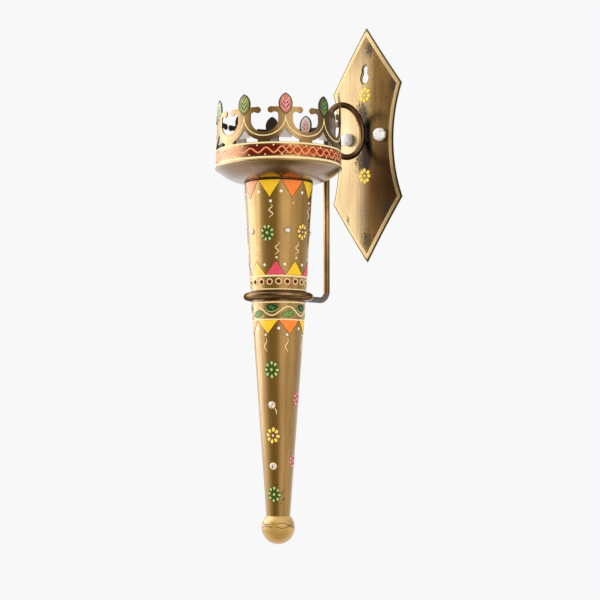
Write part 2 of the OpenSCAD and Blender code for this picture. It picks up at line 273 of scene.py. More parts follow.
class Tree:
    """Adds nodes to a node tree and wires them; a value is a socket, a number or a colour."""

    def __init__(self, tree):
        self.tree = tree

    def node(self, kind, **values):
        made = self.tree.nodes.new(kind)
        for key, value in values.items():
            setattr(made, key, value)
        return made

    def wire(self, source, target):
        self.tree.links.new(source, target)

    def feed(self, socket, value):
        if hasattr(value, "links"):
            self.wire(value, socket)
        else:
            socket.default_value = (*value, 1.0) if isinstance(value, tuple) else value

    def math(self, kind, a, b=0.0):
        made = self.node("ShaderNodeMath", operation=kind)
        self.feed(made.inputs[0], a)
        self.feed(made.inputs[1], b)
        return made.outputs["Value"]

    def times(self, a, b):
        return self.math("MULTIPLY", a, b)

    def plus(self, a, b):
        return self.math("ADD", a, b)

    def minus(self, a, b):
        return self.math("SUBTRACT", a, b)

    def length(self, x, y):
        return self.math("SQRT", self.plus(self.times(x, x), self.times(y, y)))

    def largest(self, first, *others):
        for other in others:
            first = self.math("MAXIMUM", first, other)
        return first

    def level(self, value, low, high, at_low=0.0, at_high=1.0):
        """at_low up to low, at_high from high on, and even steps from one to the other."""
        made = self.node("ShaderNodeMapRange")
        ends = {"From Min": low, "From Max": high, "To Min": at_low, "To Max": at_high}
        for key, end in ends.items():
            made.inputs[key].default_value = end
        self.wire(value, made.inputs["Value"])
        return made.outputs["Result"]

    def between(self, share, at_0, at_1):
        return self.level(share, 0.0, 1.0, at_0, at_1)

    def spread(self, noise, low, high):
        """Stretches a noise, which keeps near a half, over low to high."""
        return self.level(noise, 0.3, 0.7, low, high)

    def mix(self, share, a, b):
        made = self.node("ShaderNodeMix", data_type="RGBA")
        for socket, value in ((made.inputs["Factor"], share), (made.inputs[6], a), (made.inputs[7], b)):
            self.feed(socket, value)
        return made.outputs[2]


class Shader(Tree):
    """One procedural material; x, y and z are the place in the frame, in metres."""

    def __init__(self, name, **values):
        self.mat = bpy.data.materials.new(name)
        self.mat.use_nodes = True
        super().__init__(self.mat.node_tree)
        self.bsdf = self.tree.nodes["Principled BSDF"]
        self.set(**values)
        self.coord = self.node("ShaderNodeTexCoord").outputs["Object"]
        parts = self.node("ShaderNodeSeparateXYZ")
        self.wire(self.coord, parts.inputs["Vector"])
        self.x, self.y, self.z = parts.outputs

    def set(self, **values):
        for key, value in values.items():
            self.bsdf.inputs[key.replace("_", " ")].default_value = value

    def drive(self, name, source):
        self.wire(source, self.bsdf.inputs[name])

    def colour(self, source):
        self.drive("Base Color", source)

    def rough(self, source):
        self.drive("Roughness", source)

    def noise(self, scale, detail=4.0, roughness=0.6, distortion=0.0, shift=(0, 0, 0)):
        """Noise about a half; scale is one number, or one per axis."""
        mapping = self.node("ShaderNodeMapping")
        mapping.inputs["Scale"].default_value = scale if isinstance(scale, tuple) else (scale,) * 3
        mapping.inputs["Location"].default_value = shift
        self.wire(self.coord, mapping.inputs["Vector"])
        made = self.node("ShaderNodeTexNoise")
        values = {"Scale": 1.0, "Detail": detail, "Roughness": roughness, "Distortion": distortion}
        for key, value in values.items():
            made.inputs[key].default_value = value
        self.wire(mapping.outputs["Vector"], made.inputs["Vector"])
        return made.outputs["Fac"]

    def ramp(self, fac, places, tones):
        """Tones that lie at given places of fac, with even steps from one to the next."""
        made = self.node("ShaderNodeValToRGB")
        ramp = made.color_ramp
        while len(ramp.elements) < len(tones):
            ramp.elements.new(0.5)
        for element, at, tone in zip(ramp.elements, places, tones):
            element.position = at
            element.color = (*tone, 1.0)
        self.wire(fac, made.inputs["Fac"])
        return made.outputs["Color"]

    def bump(self, height, distance, strength=1.0):
        made = self.node("ShaderNodeBump")
        made.inputs["Distance"].default_value = distance
        made.inputs["Strength"].default_value = strength
        self.wire(height, made.inputs["Height"])
        self.drive("Normal", made.outputs["Normal"])

    def far_from(self, spot):
        """Distance from an upright line through spot."""
        return self.length(self.minus(self.x, spot.x), self.minus(self.y, spot.y))

    def off(self, z):
        """Distance above or below the height z."""
        return self.math("ABSOLUTE", self.minus(self.z, z))

    def reach(self, deg):
        """How far a point lies from the torch's axis towards its side deg."""
        a = math.radians(PAINT_FRONT + deg)
        x, y = self.minus(self.x, axis.x), self.minus(self.y, axis.y)
        return self.plus(self.times(x, math.cos(a)), self.times(y, math.sin(a)))

    def side(self, deg, low, high, at_high=1.0):
        """Rises from 0 towards the torch's side deg, between two shares of the crown's radius."""
        return self.level(self.reach(deg), band_r * low, band_r * high, 0.0, at_high)

    def patch(self, across, up, half_x, half_z):
        """1 in the middle of an oval on the back plate, falling to 0 at its rim."""
        dx = self.math("DIVIDE", self.minus(self.x, across * MM), half_x * MM)
        dz = self.math("DIVIDE", self.minus(self.z, plate_mid_z + up * MM), half_z * MM)
        return self.level(self.length(dx, dz), 1.0, 0.25)


def aged_gold(name, streaks, tones, rough=(0.33, 0.43), coat_rough=0.24):
    """Gold lacquer brushed over dark metal; streaks is the noise scale per axis.

    The caller lays more over its base and gives it its colour.
    """
    s = Shader(name, Metallic=1.0, Coat_Weight=1.0, Coat_Roughness=coat_rough, Coat_IOR=1.6)
    brush = s.noise(streaks, detail=5.0, roughness=0.65)
    cloud = s.noise((26, 26, 15), detail=3.0, shift=(3.1, 1.7, 0.4))
    s.grain = s.plus(s.times(brush, 0.62), s.times(cloud, 0.38))
    s.base = s.ramp(s.grain, (0.28, 0.5, 0.72), tones)
    s.gloss = s.spread(s.grain, rough[1], rough[0])
    s.rough(s.gloss)
    s.bump(s.noise(1500, detail=2.0), 0.03 * MM, 0.5)
    return s


def tube_gold():
    """Gold tubes with dark grains, and with painted contact shade about the ring."""
    tones = ((0.32, 0.155, 0.026), (0.44, 0.245, 0.05), (0.54, 0.32, 0.08))
    s = aged_gold("tube_gold", (170, 170, 9), tones)
    grains = s.level(s.noise(620, detail=3.0, roughness=0.75), 0.66, 0.7)
    worn = s.mix(s.times(grains, 0.75), s.base, (0.13, 0.06, 0.015))
    # Painted contact shade: the gold darkens and loses its coat just above and below the ring
    ring_contact_shade = s.level(s.off(seam_z), 5.4 * MM, 4.0 * MM, 0.0, 0.85)
    s.colour(s.mix(ring_contact_shade, worn, (0.07, 0.032, 0.006)))
    s.drive("Coat Weight", s.between(ring_contact_shade, 1.0, 0.2))
    return s.mat


def ball_gold():
    """Thick gold paint over the ball, crossed by two broken cracks."""
    tones = ((0.44, 0.235, 0.04), (0.59, 0.335, 0.065), (0.70, 0.44, 0.11))
    s = aged_gold("ball_gold", (60, 60, 420), tones, rough=(0.42, 0.5), coat_rough=0.3)
    s.set(Metallic=0.45)
    lowest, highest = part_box("ball_finial")
    middle = lowest.z + (highest.x - lowest.x) / 2
    wander = s.noise((52, 52, 20), detail=2.5, roughness=0.5)
    cracks = []
    for up, swing in ((0.0, 4.5), (4.6, -6)):
        line_z = s.between(wander, middle + (up - swing) * MM, middle + (up + swing) * MM)
        cracks.append(s.level(s.off(line_z), 0.5 * MM, 0.15 * MM))
    whole = s.level(s.noise(95, detail=2.0, shift=(0.35, 0.12, 0)), 0.35, 0.43)
    cracked = s.times(s.largest(*cracks), whole)
    s.colour(s.mix(s.times(cracked, 0.95), s.base, (0.05, 0.02, 0.005)))
    s.drive("Coat Weight", s.between(cracked, 1.0, 0.2))
    return s.mat


# Places on the back plate as across, up, half width and half height
SOOT_MARKS = (
    (-3, 30, 10, 17), (-4, -15, 11, 16), (5, 88, 9, 13), (0, -87, 9, 15),
    (25, -64, 9, 20), (-23, -70, 4, 12), (33, 50, 6, 14), (-34, 44, 4, 14),
)
SOOT_CORES = ((-3, 25, 12, 22), (-5, -17, 13, 22))
# Brown for a stain, and for the painted shade on the plate's right side
AGED_BROWN_AND_SHADE = (0.08, 0.037, 0.009)
# Each mark's place, strength and colour: stains, a painted shadow low on the right and a painted highlight
# on the left
PLATE_STAINS_SHADOW_AND_LIGHT = (
    # A painted shadow, low on the right side
    ((21, -44, 27, 52), 0.85, (0.045, 0.018, 0.004)),
    ((29, 42, 18, 30), 0.5, (0.05, 0.022, 0.006)),
    ((-2, -64, 15, 22), 0.45, AGED_BROWN_AND_SHADE),
    # A painted highlight, pale on the left side
    ((-27, 4, 17, 34), 0.8, (0.43, 0.345, 0.16)),
)
PLATE_TIP = (4, 104, 70, 46)
# The loop's painted shadow on the plate, about where the loop meets it
LOOP_SHADOW = (2.5, 0, 8, 37)


def plate_gold():
    """Gold plate with brown painted shade on its right side, a painted shadow of the loop and another low
    on the right, a painted highlight on the left, and soot; dark on its edges and back.
    """
    tones = ((0.27, 0.15, 0.034), (0.38, 0.235, 0.068), (0.46, 0.31, 0.12))
    s = aged_gold("plate_gold", (420, 420, 26), tones, rough=(0.28, 0.36), coat_rough=0.22)
    marks, cores = (s.largest(*(s.patch(*place) for place in row)) for row in (SOOT_MARKS, SOOT_CORES))
    thick = s.plus(s.times(marks, 0.22), s.times(cores, 0.05))
    speckle = s.noise(800, detail=3.0, roughness=0.9)
    soot = s.times(s.level(s.plus(speckle, thick), 0.62, 0.7), 0.9)
    # Painted shade: the right side is brown and darker, and the shade reaches further left lower down
    low = s.level(s.z, plate_hi.z, plate_lo.z, -4 * MM, 7 * MM)
    shade = s.level(s.plus(s.x, low), -8 * MM, 11 * MM, 0.0, 0.97)
    worn = s.mix(s.times(shade, s.level(s.grain, 0.25, 0.75, 1.0, 0.8)), s.base, AGED_BROWN_AND_SHADE)
    # Stains, a painted shadow and a painted highlight
    for place, strength, colour in PLATE_STAINS_SHADOW_AND_LIGHT:
        worn = s.mix(s.times(s.patch(*place), strength), worn, colour)
    tip = s.times(s.patch(*PLATE_TIP), 0.75)
    worn = s.mix(tip, worn, (0.12, 0.06, 0.012))
    # The loop's painted shadow darkens the plate about the loop
    loop_shadow = s.times(s.level(s.patch(*LOOP_SHADOW), 0.0, 0.55), 0.97)
    worn = s.mix(loop_shadow, worn, (0.02, 0.012, 0.008))
    # Less coat where the painted shade and the loop's painted shadow lie, and on soot and at the tip
    dull = s.largest(shade, loop_shadow, soot, s.times(tip, 0.7))
    s.drive("Coat Weight", s.level(dull, 0.0, 0.85, 1.0, 0.0))
    dots = s.level(s.noise((640, 640, 480), detail=3.0, roughness=0.7, shift=(0.2, 0, 0.7)), 0.57, 0.63)
    worn = s.mix(s.times(dots, s.times(shade, 0.6)), worn, (0.035, 0.017, 0.006))
    front = s.mix(soot, worn, (0.025, 0.018, 0.014))
    up = s.minus(s.z, plate_mid_z)
    bulge = s.plus(
        s.times(up, s.times(up, 0.5 / DISH_R_TALL)),
        s.times(s.x, s.times(s.x, 0.5 / DISH_R_WIDE)),
    )
    depth = s.minus(s.minus(s.y, plate_lo.y), bulge)
    s.colour(s.mix(s.level(depth, 0.12 * MM, 0.3 * MM), front, (0.03, 0.018, 0.01)))
    return s.mat


def crown_inside(s):
    """Tone of the crown's dull inner face, brighter on its right side as painted light."""
    return s.mix(s.side(92, 0.82, 0.95), (0.022, 0.015, 0.011), (0.24, 0.165, 0.10))


def crown_gold():
    """Gold on the outer face, with painted shade on its right side; dull brown on cut edges and inside."""
    tones = ((0.22, 0.105, 0.026), (0.42, 0.235, 0.065), (0.58, 0.37, 0.13))
    s = aged_gold("crown_gold", (120, 120, 30), tones)
    s.set(Specular_Tint=(0.7, 0.52, 0.36, 1.0))
    away = s.far_from(axis)
    outer = s.level(away, band_r - 0.12 * MM, band_r - 0.04 * MM)
    inner = s.level(away, band_r - sheet_t + 0.06 * MM, band_r - sheet_t + 0.02 * MM)
    edge = s.mix(inner, (0.04, 0.024, 0.014), crown_inside(s))
    # Painted shade darkens the outer face, and dulls its coat, towards the right side
    aged = s.side(66, 0.66, 0.92, 0.78)
    # Darker low on the arches towards the front, near the band
    low = s.level(s.z, band_lo.z + 27 * MM, band_lo.z + 17 * MM)
    low_front_darkening = s.times(s.side(-17, 0.92, 0.985, 0.75), low)
    face = s.mix(low_front_darkening, s.mix(aged, s.base, (0.075, 0.042, 0.014)), (0.09, 0.04, 0.012))
    s.colour(s.mix(outer, edge, face))
    s.drive("Metallic", s.between(outer, 0.15, 1.0))
    s.drive("Coat Weight", s.times(s.between(outer, 0.05, 1.0), s.between(aged, 1.0, 0.45)))
    s.rough(s.largest(s.gloss, s.between(outer, 0.75, 0.0)))
    return s.mat


def pan_bronze():
    """Bronze lacquer below, with a gold rolled edge."""
    tones = ((0.20, 0.105, 0.04), (0.28, 0.155, 0.066), (0.36, 0.21, 0.10))
    s = aged_gold("pan_bronze", (60, 60, 60), tones, rough=(0.24, 0.34))
    rim = s.level(s.far_from(axis), band_r - 2.4 * MM, band_r - 1.2 * MM)
    s.colour(s.mix(rim, s.base, (0.36, 0.22, 0.07)))
    return s.mat


def dark_bronze(name, streaks, low, high, solder=None, foot=None):
    """Lacquered bar, whose tone drifts from low to high along its streaks.

    Solder greys it about the box solder, or below the height foot, where one is given.
    """
    s = Shader(name, Metallic=1.0, Specular_Tint=(0.22, 0.15, 0.1, 1.0))
    cloud = s.noise(streaks, detail=4.0, roughness=0.55)
    # The loop, behind the crown, is darker
    loop = s.level(s.z, band_lo.z - 15 * MM, band_lo.z, 0.0, 0.7)
    tone = s.mix(loop, s.ramp(cloud, (0.36, 0.64), (low, high)), (0.11, 0.06, 0.028))
    if solder:
        smear = s.level(s.far_from((solder[0] + solder[1]) / 2), 32 * MM, 24 * MM)
        tone = s.mix(smear, tone, (0.40, 0.375, 0.36))
        s.drive("Metallic", s.between(smear, 1.0, 0.2))
    if foot:
        aged = s.level(s.z, foot + 60 * MM, foot + 8 * MM, 0.0, 0.55)
        grey = s.level(s.z, foot + 7 * MM, foot + 3 * MM)
        tone = s.mix(grey, s.mix(aged, tone, (0.09, 0.05, 0.02)), (0.15, 0.135, 0.125))
        s.drive("Metallic", s.between(grey, 1.0, 0.5))
    s.colour(tone)
    s.rough(s.spread(cloud, 0.34, 0.26))
    s.bump(s.noise(700, detail=3.0), 0.02 * MM, 0.7)
    return s.mat


def braze(name, low, high):
    s = Shader(name, Metallic=0.6)
    lumps = s.noise(420)
    s.colour(s.ramp(lumps, (0.35, 0.7), (low, high)))
    s.rough(s.spread(lumps, 0.65, 0.4))
    s.bump(lumps, 0.35 * MM)
    return s.mat


def plain_steel():
    s = Shader("plain_steel", Metallic=1.0)
    turned = s.noise((90, 90, 900), detail=3.0)
    s.colour(s.ramp(turned, (0.3, 0.7), ((0.40, 0.40, 0.41), (0.62, 0.62, 0.63))))
    s.rough(s.spread(turned, 0.42, 0.28))
    s.bump(turned, 0.02 * MM)
    return s.mat


def drop_stone():
    """Small mirror stone on the lower tube: grey sparkling middle in a cream rim."""
    s = Shader("drop_stone", Coat_Weight=1.0, Coat_Roughness=0.06)
    slope = (seam_r - end_r) / (seam_z - lower_lo.z)
    surface = s.minus(seam_r, s.times(s.minus(seam_z, s.z), slope))
    height = s.minus(s.far_from(axis), surface)
    tall = max(
        math.hypot(v.co.x - axis.x, v.co.y - axis.y) - tube_radius(v.co.z)
        for v in nodes["lower_stones"].data.vertices
    )
    middle = s.level(height, tall * 0.62, tall * 0.72)
    sparkle = s.noise(900, detail=2.0, roughness=0.8)
    tones = ((0.12, 0.075, 0.05), (0.42, 0.34, 0.28), (0.95, 0.92, 0.88))
    core = s.ramp(sparkle, (0.43, 0.51, 0.57), tones)
    s.colour(s.mix(middle, (0.80, 0.58, 0.40), core))
    s.rough(s.spread(sparkle, 0.3, 0.16))
    s.bump(sparkle, 0.1 * MM, 0.5)
    return s.mat


def stone_white(name, shine):
    """Domed mirror stone: bright, with soft grey swirls and fine glitter."""
    s = Shader(name, Coat_Weight=shine, Coat_Roughness=0.06)
    swirl = s.noise(210, detail=3.0, distortion=1.2)
    glitter = s.level(s.noise(1500, detail=2.0), 0.6, 0.72)
    tones = ((0.46, 0.41, 0.36), (0.76, 0.72, 0.67), (0.93, 0.91, 0.88))
    base = s.ramp(swirl, (0.34, 0.5, 0.66), tones)
    s.colour(s.mix(glitter, base, (1.0, 1.0, 1.0)))
    s.rough(s.spread(swirl, 0.3, 0.16))
    s.bump(swirl, 0.12 * MM, 0.5)
    return s.mat


# Noise scale of brush marks, and where their dark, middle and light tones lie in it
BRUSH_MARKS = (330, 330, 240)
BRUSHED = (0.3, 0.52, 0.74)


def bare_paint(name, coat=0.12, ior=1.38):
    """The surface that all the paints share, without its colour."""
    s = Shader(name, Coat_Weight=coat, Coat_Roughness=0.2, IOR=ior)
    s.bump(s.noise((800, 800, 500), detail=3.0), 0.05 * MM, 0.6)
    return s


def enamel(name, colour, rough=0.36, coat=0.12, ior=1.38, glare_left=False):
    """Hand-brushed paint whose tone varies a little, and which may take a painted highlight that pales it
    on the torch's left.
    """
    s = bare_paint(name, coat, ior)
    tone = s.noise(BRUSH_MARKS)
    dark = tuple(c * 0.904 for c in colour)
    light = tuple(min(1.0, c * 1.06) for c in colour)
    brushed = s.ramp(tone, BRUSHED, (dark, colour, light))
    # Painted highlight: the paint pales towards the torch's left
    if glare_left:
        left = s.math("DIVIDE", s.reach(-80), s.far_from(axis))
        brushed = s.mix(s.level(left, 0.62, 1.0, 0.0, 0.5), brushed, (0.90, 0.68, 0.42))
    s.colour(brushed)
    s.rough(s.spread(tone, rough + 0.07, rough - 0.06))
    return s.mat


def rust_enamel():
    """The band's paint, which drifts between dark red and orange, with a painted highlight that pales it on
    the left.
    """
    s = bare_paint("enamel_rust_drift", coat=0.0, ior=1.25)
    s.set(Specular_Tint=(1.0, 0.55, 0.3, 1.0))
    drift = s.noise(16, detail=3.0, roughness=0.5, shift=(0.4, 0.2, 0))
    darker = s.largest(s.side(-12, 0.89, 0.98, 0.3), s.side(62, 0.8, 0.98, 0.14))
    drift = s.minus(s.plus(drift, 0.03), darker)
    tones = ((0.115, 0.006, 0.001), (0.35, 0.037, 0.007), (0.50, 0.098, 0.018))
    base = s.ramp(drift, (0.38, 0.5, 0.62), tones)
    dabs = s.level(s.noise((520, 520, 380), detail=3.0, roughness=0.7), 0.5, 0.6)
    base = s.mix(s.times(dabs, s.side(42, 0.72, 0.88, 0.85)), base, (0.13, 0.016, 0.004))
    # Painted highlight: the band pales towards the torch's left
    s.colour(s.mix(s.side(-62, 0.81, 0.97, 0.8), base, (0.76, 0.50, 0.29)))
    s.rough(s.spread(s.noise(BRUSH_MARKS), 0.5, 0.36))
    return s.mat


def bare_metal():
    """The crown's bare inner face, grey on one side and brown with age on the other."""
    s = bare_paint("enamel_bare_metal")
    cloud = s.noise(90)
    base = s.ramp(cloud, (0.34, 0.66), ((0.40, 0.34, 0.29), (0.56, 0.485, 0.42)))
    aged = s.mix(s.side(104, 0.42, 0.8, 0.9), base, (0.13, 0.085, 0.05))
    # The bare metal fades upwards into the dull face round it
    high = s.level(s.z, band_lo.z + 31 * MM, band_lo.z + 39 * MM)
    s.colour(s.mix(high, aged, crown_inside(s)))
    s.drive("Metallic", s.between(high, 0.0, 0.15))
    s.rough(s.largest(s.spread(cloud, 0.43, 0.3), s.between(high, 0.0, 0.75)))
    return s.mat


def border_gold():
    """The plate's gold border, with painted shade towards its right side and a painted shadow low on the
    right.
    """
    s = bare_paint("enamel_border_shaded")
    brush = s.noise(BRUSH_MARKS)
    tones = ((0.70, 0.48, 0.18), (0.80, 0.57, 0.23), (0.86, 0.64, 0.28))
    base = s.ramp(brush, BRUSHED, tones)
    # Painted shade towards the right side, and a painted shadow low on the right
    right_shade = s.level(s.x, -8 * MM, 24 * MM, 0.0, 0.9)
    lower_right_shadow = s.times(s.patch(31, -42, 14, 28), 0.75)
    s.colour(s.mix(lower_right_shadow, s.mix(right_shade, base, (0.38, 0.235, 0.07)), (0.12, 0.07, 0.02)))
    s.rough(s.spread(brush, 0.43, 0.3))
    return s.mat


# Each paint's colour or own material, and the record's slot that gives its finish
PAINTS = {
    "yellow": ((0.86, 0.50, 0.007), "paint_yellow"),
    "orange": ((0.90, 0.21, 0.012), "paint_orange"),
    "pink": ((0.68, 0.055, 0.10), "paint_pink"),
    "flower_rose": ((0.38, 0.05, 0.075), "paint_pink"),
    "rose": ((0.36, 0.035, 0.045), "paint_pink"),
    "salmon": ((0.52, 0.18, 0.10), "paint_pink"),
    "olive": ((0.24, 0.22, 0.07), "paint_green"),
    "sage": ((0.46, 0.48, 0.33), "paint_pale_green"),
    "dark_olive": ((0.075, 0.07, 0.03), "paint_green"),
    "fern": ((0.16, 0.34, 0.09), "paint_pale_green"),
    "blush": ((0.70, 0.56, 0.50), "paint_pink"),
    "cream": ((0.88, 0.67, 0.33), "paint_cream"),
    "white": ((0.92, 0.86, 0.72), "paint_cream"),
    "green": ((0.04, 0.075, 0.004), "paint_green"),
    "deep_green": ((0.011, 0.06, 0.012), "paint_green"),
    "leaf_green": ((0.11, 0.19, 0.03), "paint_pale_green"),
    "light_green": ((0.50, 0.55, 0.17), "paint_pale_green"),
    "red": ((0.14, 0.010, 0.002), "paint_red"),
    "rust": (rust_enamel, "paint_red"),
    "gold_line": ((0.74, 0.26, 0.09), "paint_gold"),
    "border": (border_gold, "paint_gold"),
    "brown": ((0.022, 0.011, 0.006), "dark_bronze"),
    "ochre": ((0.13, 0.065, 0.012), "dark_bronze"),
    "plate_yellow": ((0.92, 0.64, 0.05), "paint_yellow"),
    "gold_petal": ((0.88, 0.60, 0.10), "paint_yellow"),
    "pale_pink": ((0.85, 0.42, 0.40), "paint_pink"),
    "bare_grey": (bare_metal, "dark_bronze"),
}
# Paints that take the painted highlight on the torch's left
GLARED_PAINTS = ("yellow", "orange", "pink")
DULL_PAINTS = ("brown", "red")


def paint_material(name):
    look = PAINTS[name][0]
    if callable(look):
        return look()
    if name in GLARED_PAINTS:
        return enamel("enamel_left_glare_" + name, look, glare_left=True)
    if name in DULL_PAINTS:
        return enamel("enamel_dull_" + name, look, rough=0.6, coat=0.0, ior=1.15)
    return enamel("enamel_" + name, look)


paint_materials = {name: paint_material(name) for name in PAINTS}
TORCH, WALL = "torch", "wall_bracket"


class Layer:
    """Shapes of one paint that make one piece of the scene."""

    made = []

    def __init__(self, name, paint, body=TORCH):
        self.name, self.paint, self.body = name, paint, body
        self.verts, self.faces = [], []
        Layer.made.append(self)

    def add(self, place, shape):
        verts, faces = shape
        start = len(self.verts)
        self.verts += [place(*v) for v in verts]
        self.faces += [tuple(start + i for i in face) for face in faces]

    def build(self):
        mesh = bpy.data.meshes.new(self.name)
        mesh.from_pydata(self.verts, [], self.faces)
        mesh.polygons.foreach_set("use_smooth", [True] * len(mesh.polygons))
        mesh.materials.append(paint_materials[self.paint])
        piece = new_object(self.name, mesh)
        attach(piece, self.body)


# How far paint stands out
PAINT_RISE, EDGE_RISE, LINE_RISE, DOT_RISE = 0.14, 0.18, 0.24, 0.45


def hoop(layer, up, width, rise, wobble=0.12, surface=on_tube, radius=None):
    """Painted line all round the torch."""
    r = radius or tube_radius(seam_z + up * MM)
    steps = 180
    phase = rng.uniform(0, 6)
    path = []
    for i in range(steps):
        a = 2 * math.pi * i / steps
        path.append((a * r / MM, wobble * math.sin(5 * a + phase) * math.sin(2 * a)))
    end = (2 * math.pi * r / MM, path[0][1])
    layer.add(surface(0, up), stroke(path + [end], width, rise, taper=1.0))


# Painted rows of the torch's upper tube, whose heights count from the seam

tube_cream = Layer("torch_cream_lines", "cream")
tube_white = Layer("torch_white_dots", "white")
flag_layers = {paint: Layer(f"torch_{paint}_flags", paint) for paint in ("yellow", "orange", "pink")}
brown_lines = Layer("torch_brown_lines", "brown")
eye_dots = Layer("torch_eye_dots", "red")


def pennant(paint, deg, up, width, depth):
    """Triangle that hangs from its base, or stands on it where depth is negative."""
    corners = [(-width / 2, 0), (0, -depth), (width / 2, 0)]
    if depth < 0:
        corners.reverse()
    lean = rng.uniform(-0.6, 0.6)
    corners = [(s + (lean if t else 0), t) for s, t in corners]
    place = on_tube(deg, up)
    flag_layers[paint].add(place, blob(along(corners), PAINT_RISE))
    tip = (lean, -depth)
    for side in (-1, 1):
        edge = smooth_path([(side * width / 2, 0), ((side * width / 2 + tip[0]) / 2, tip[1] / 2), tip])
        brown_lines.add(place, stroke(edge, 0.4, EDGE_RISE, taper=0.8))


def flag_row(paints, middle, count, up, spread, depth):
    """Paints flags in two paints by turns, and gives each one's direction and paint."""
    for k in range(-(count // 2), count // 2 + 1):
        deg, paint = middle + k * 360 / count, paints[k % 2]
        width = math.radians(spread) * tube_radius(seam_z + up * MM) / MM
        pennant(paint, deg, up, width, depth)
        yield deg, paint


def dot(layer, deg, up, radius):
    layer.add(on_tube(deg, up), blob(circle(radius, 14), DOT_RISE, DOME))


def tendril(deg, up, length, swing, width, **form):
    tube_cream.add(on_tube(deg, up), stroke(squiggle(length, swing, **form), width, LINE_RISE))


# Hanging flags below the pan
FLAG_TOP, FLAG_DEPTH, FLAG_SPREAD = 96.6, 14.9, 39.7
for deg, paint in flag_row(("yellow", "orange"), -15, 9, FLAG_TOP, FLAG_SPREAD, FLAG_DEPTH):
    dot(tube_white, deg + 20, 86.6 + rng.uniform(-0.4, 0.4), 1.25)
    if paint == "yellow":
        dot(tube_white, deg + 2, 78.6, 1.2)
        tendril(deg + 1.5, 76.0, 11.5, 1.5, 0.95, lean=0.6)
    else:
        dot(tube_cream, deg + 2, 77.3, 0.8)
# A dark hoop at the top of the upper tube, painted shade in the gap under the pan
hoop(brown_lines, torch_up_mm - 0.75, 1.4, 0.2, 0)

# Flowers between the stones at mid height
green_petals = Layer("torch_green_petals", "green")
light_petals = Layer("torch_light_petals", "light_green")
gold_petals = Layer("torch_gold_petals", "gold_petal")
pink_petals = Layer("torch_pink_petals", "flower_rose")
pale_pink_petals = Layer("torch_pale_pink_petals", "pale_pink")
petal_ground = Layer("torch_petal_ground", "ochre")


def flower(place, across, ground, top, centre, fill, rise=0.3, narrow=0.86):
    """Eight dabs about a dot, which fill a share of their scalloped ground, if it has one."""
    petals = 8

    def put(layer, shape, height, profile):
        layer.add(place, blob([(u * narrow, v) for u, v in shape], height, profile))

    reach = across / 2
    start = rng.uniform(0, 360 / petals)
    if ground:
        put(ground, circle(reach * 0.72, 20), rise * 0.35, FLAT)
    for i in range(petals):
        turn = start + i * 360 / petals + rng.uniform(-5, 5)
        size = rng.uniform(0.92, 1.05)
        if ground:
            lobe = moved(circle(reach * 0.28, 12), reach * 0.73 * size)
            put(ground, moved(lobe, turn=turn), rise * 0.4, FLAT)
        tip = moved(petal(reach * 0.62 * fill * size, reach * 0.5 * fill), reach * (0.93 - 0.62 * fill))
        put(top, moved(tip, turn=turn), rise, DOME)
    put(centre, circle(reach * 0.17, 12), rise * 1.1, DOME)


# Each kind's ground, petals, centre and share that the petals fill
FLOWERS = {
    "green": (green_petals, light_petals, light_petals, 0.68),
    "gold": (petal_ground, gold_petals, pale_pink_petals, 0.9),
    "pink": (pink_petals, pale_pink_petals, gold_petals, 0.7),
}


def tube_flower(deg, up, kind, across):
    flower(on_tube(deg, up), across, *FLOWERS[kind])


MIDDLE_FLOWERS = (
    (-20.4, 52.0, "green"), (50.2, 53.5, "gold"), (125, 52.5, "green"), (197, 52.0, "gold"),
    (-92, 52.5, "pink"),
)
for deg, up, kind in MIDDLE_FLOWERS:
    tube_flower(deg, up, kind, 15.0)
# A thin ring round each stone
STONES, STONE_START, STONE_UP = 5, 17.5, 54
for k in range(STONES):
    place = on_tube(STONE_START + k * 360 / STONES, STONE_UP)
    brown_lines.add(place, stroke(circle(2.35, 20), 0.5, 0.2, closed=True))

# Standing flags above the row of eyes
STAND_TOP, STAND_H, STAND_SPREAD = 17.0, 11.7, 39.0
for deg, paint in flag_row(("pink", "yellow"), -5, 9, STAND_TOP, STAND_SPREAD, -STAND_H):
    dot(tube_white, deg + 18, 25.4 + rng.uniform(-0.3, 0.3), 1.15)
    tendril(deg + 4, 44.5, 11.0, 1.5, 0.85, lean=-0.8)
    dot(tube_cream, deg + 2, 31.3, 1.0)
hoop(tube_cream, 16.0, 1.7, LINE_RISE)

EYES, EYE_UP = 20, 11.3
for k in range(EYES):
    place = on_tube(0.8 + k * 360 / EYES, EYE_UP + rng.uniform(-0.3, 0.3))
    eye_dots.add(place, blob(circle(1.75, 14), 0.3, DOME))
    tube_cream.add(place, stroke(circle(2.3, 20), 0.95, 0.38, closed=True))
hoop(tube_cream, 4.9, 1.25, LINE_RISE)

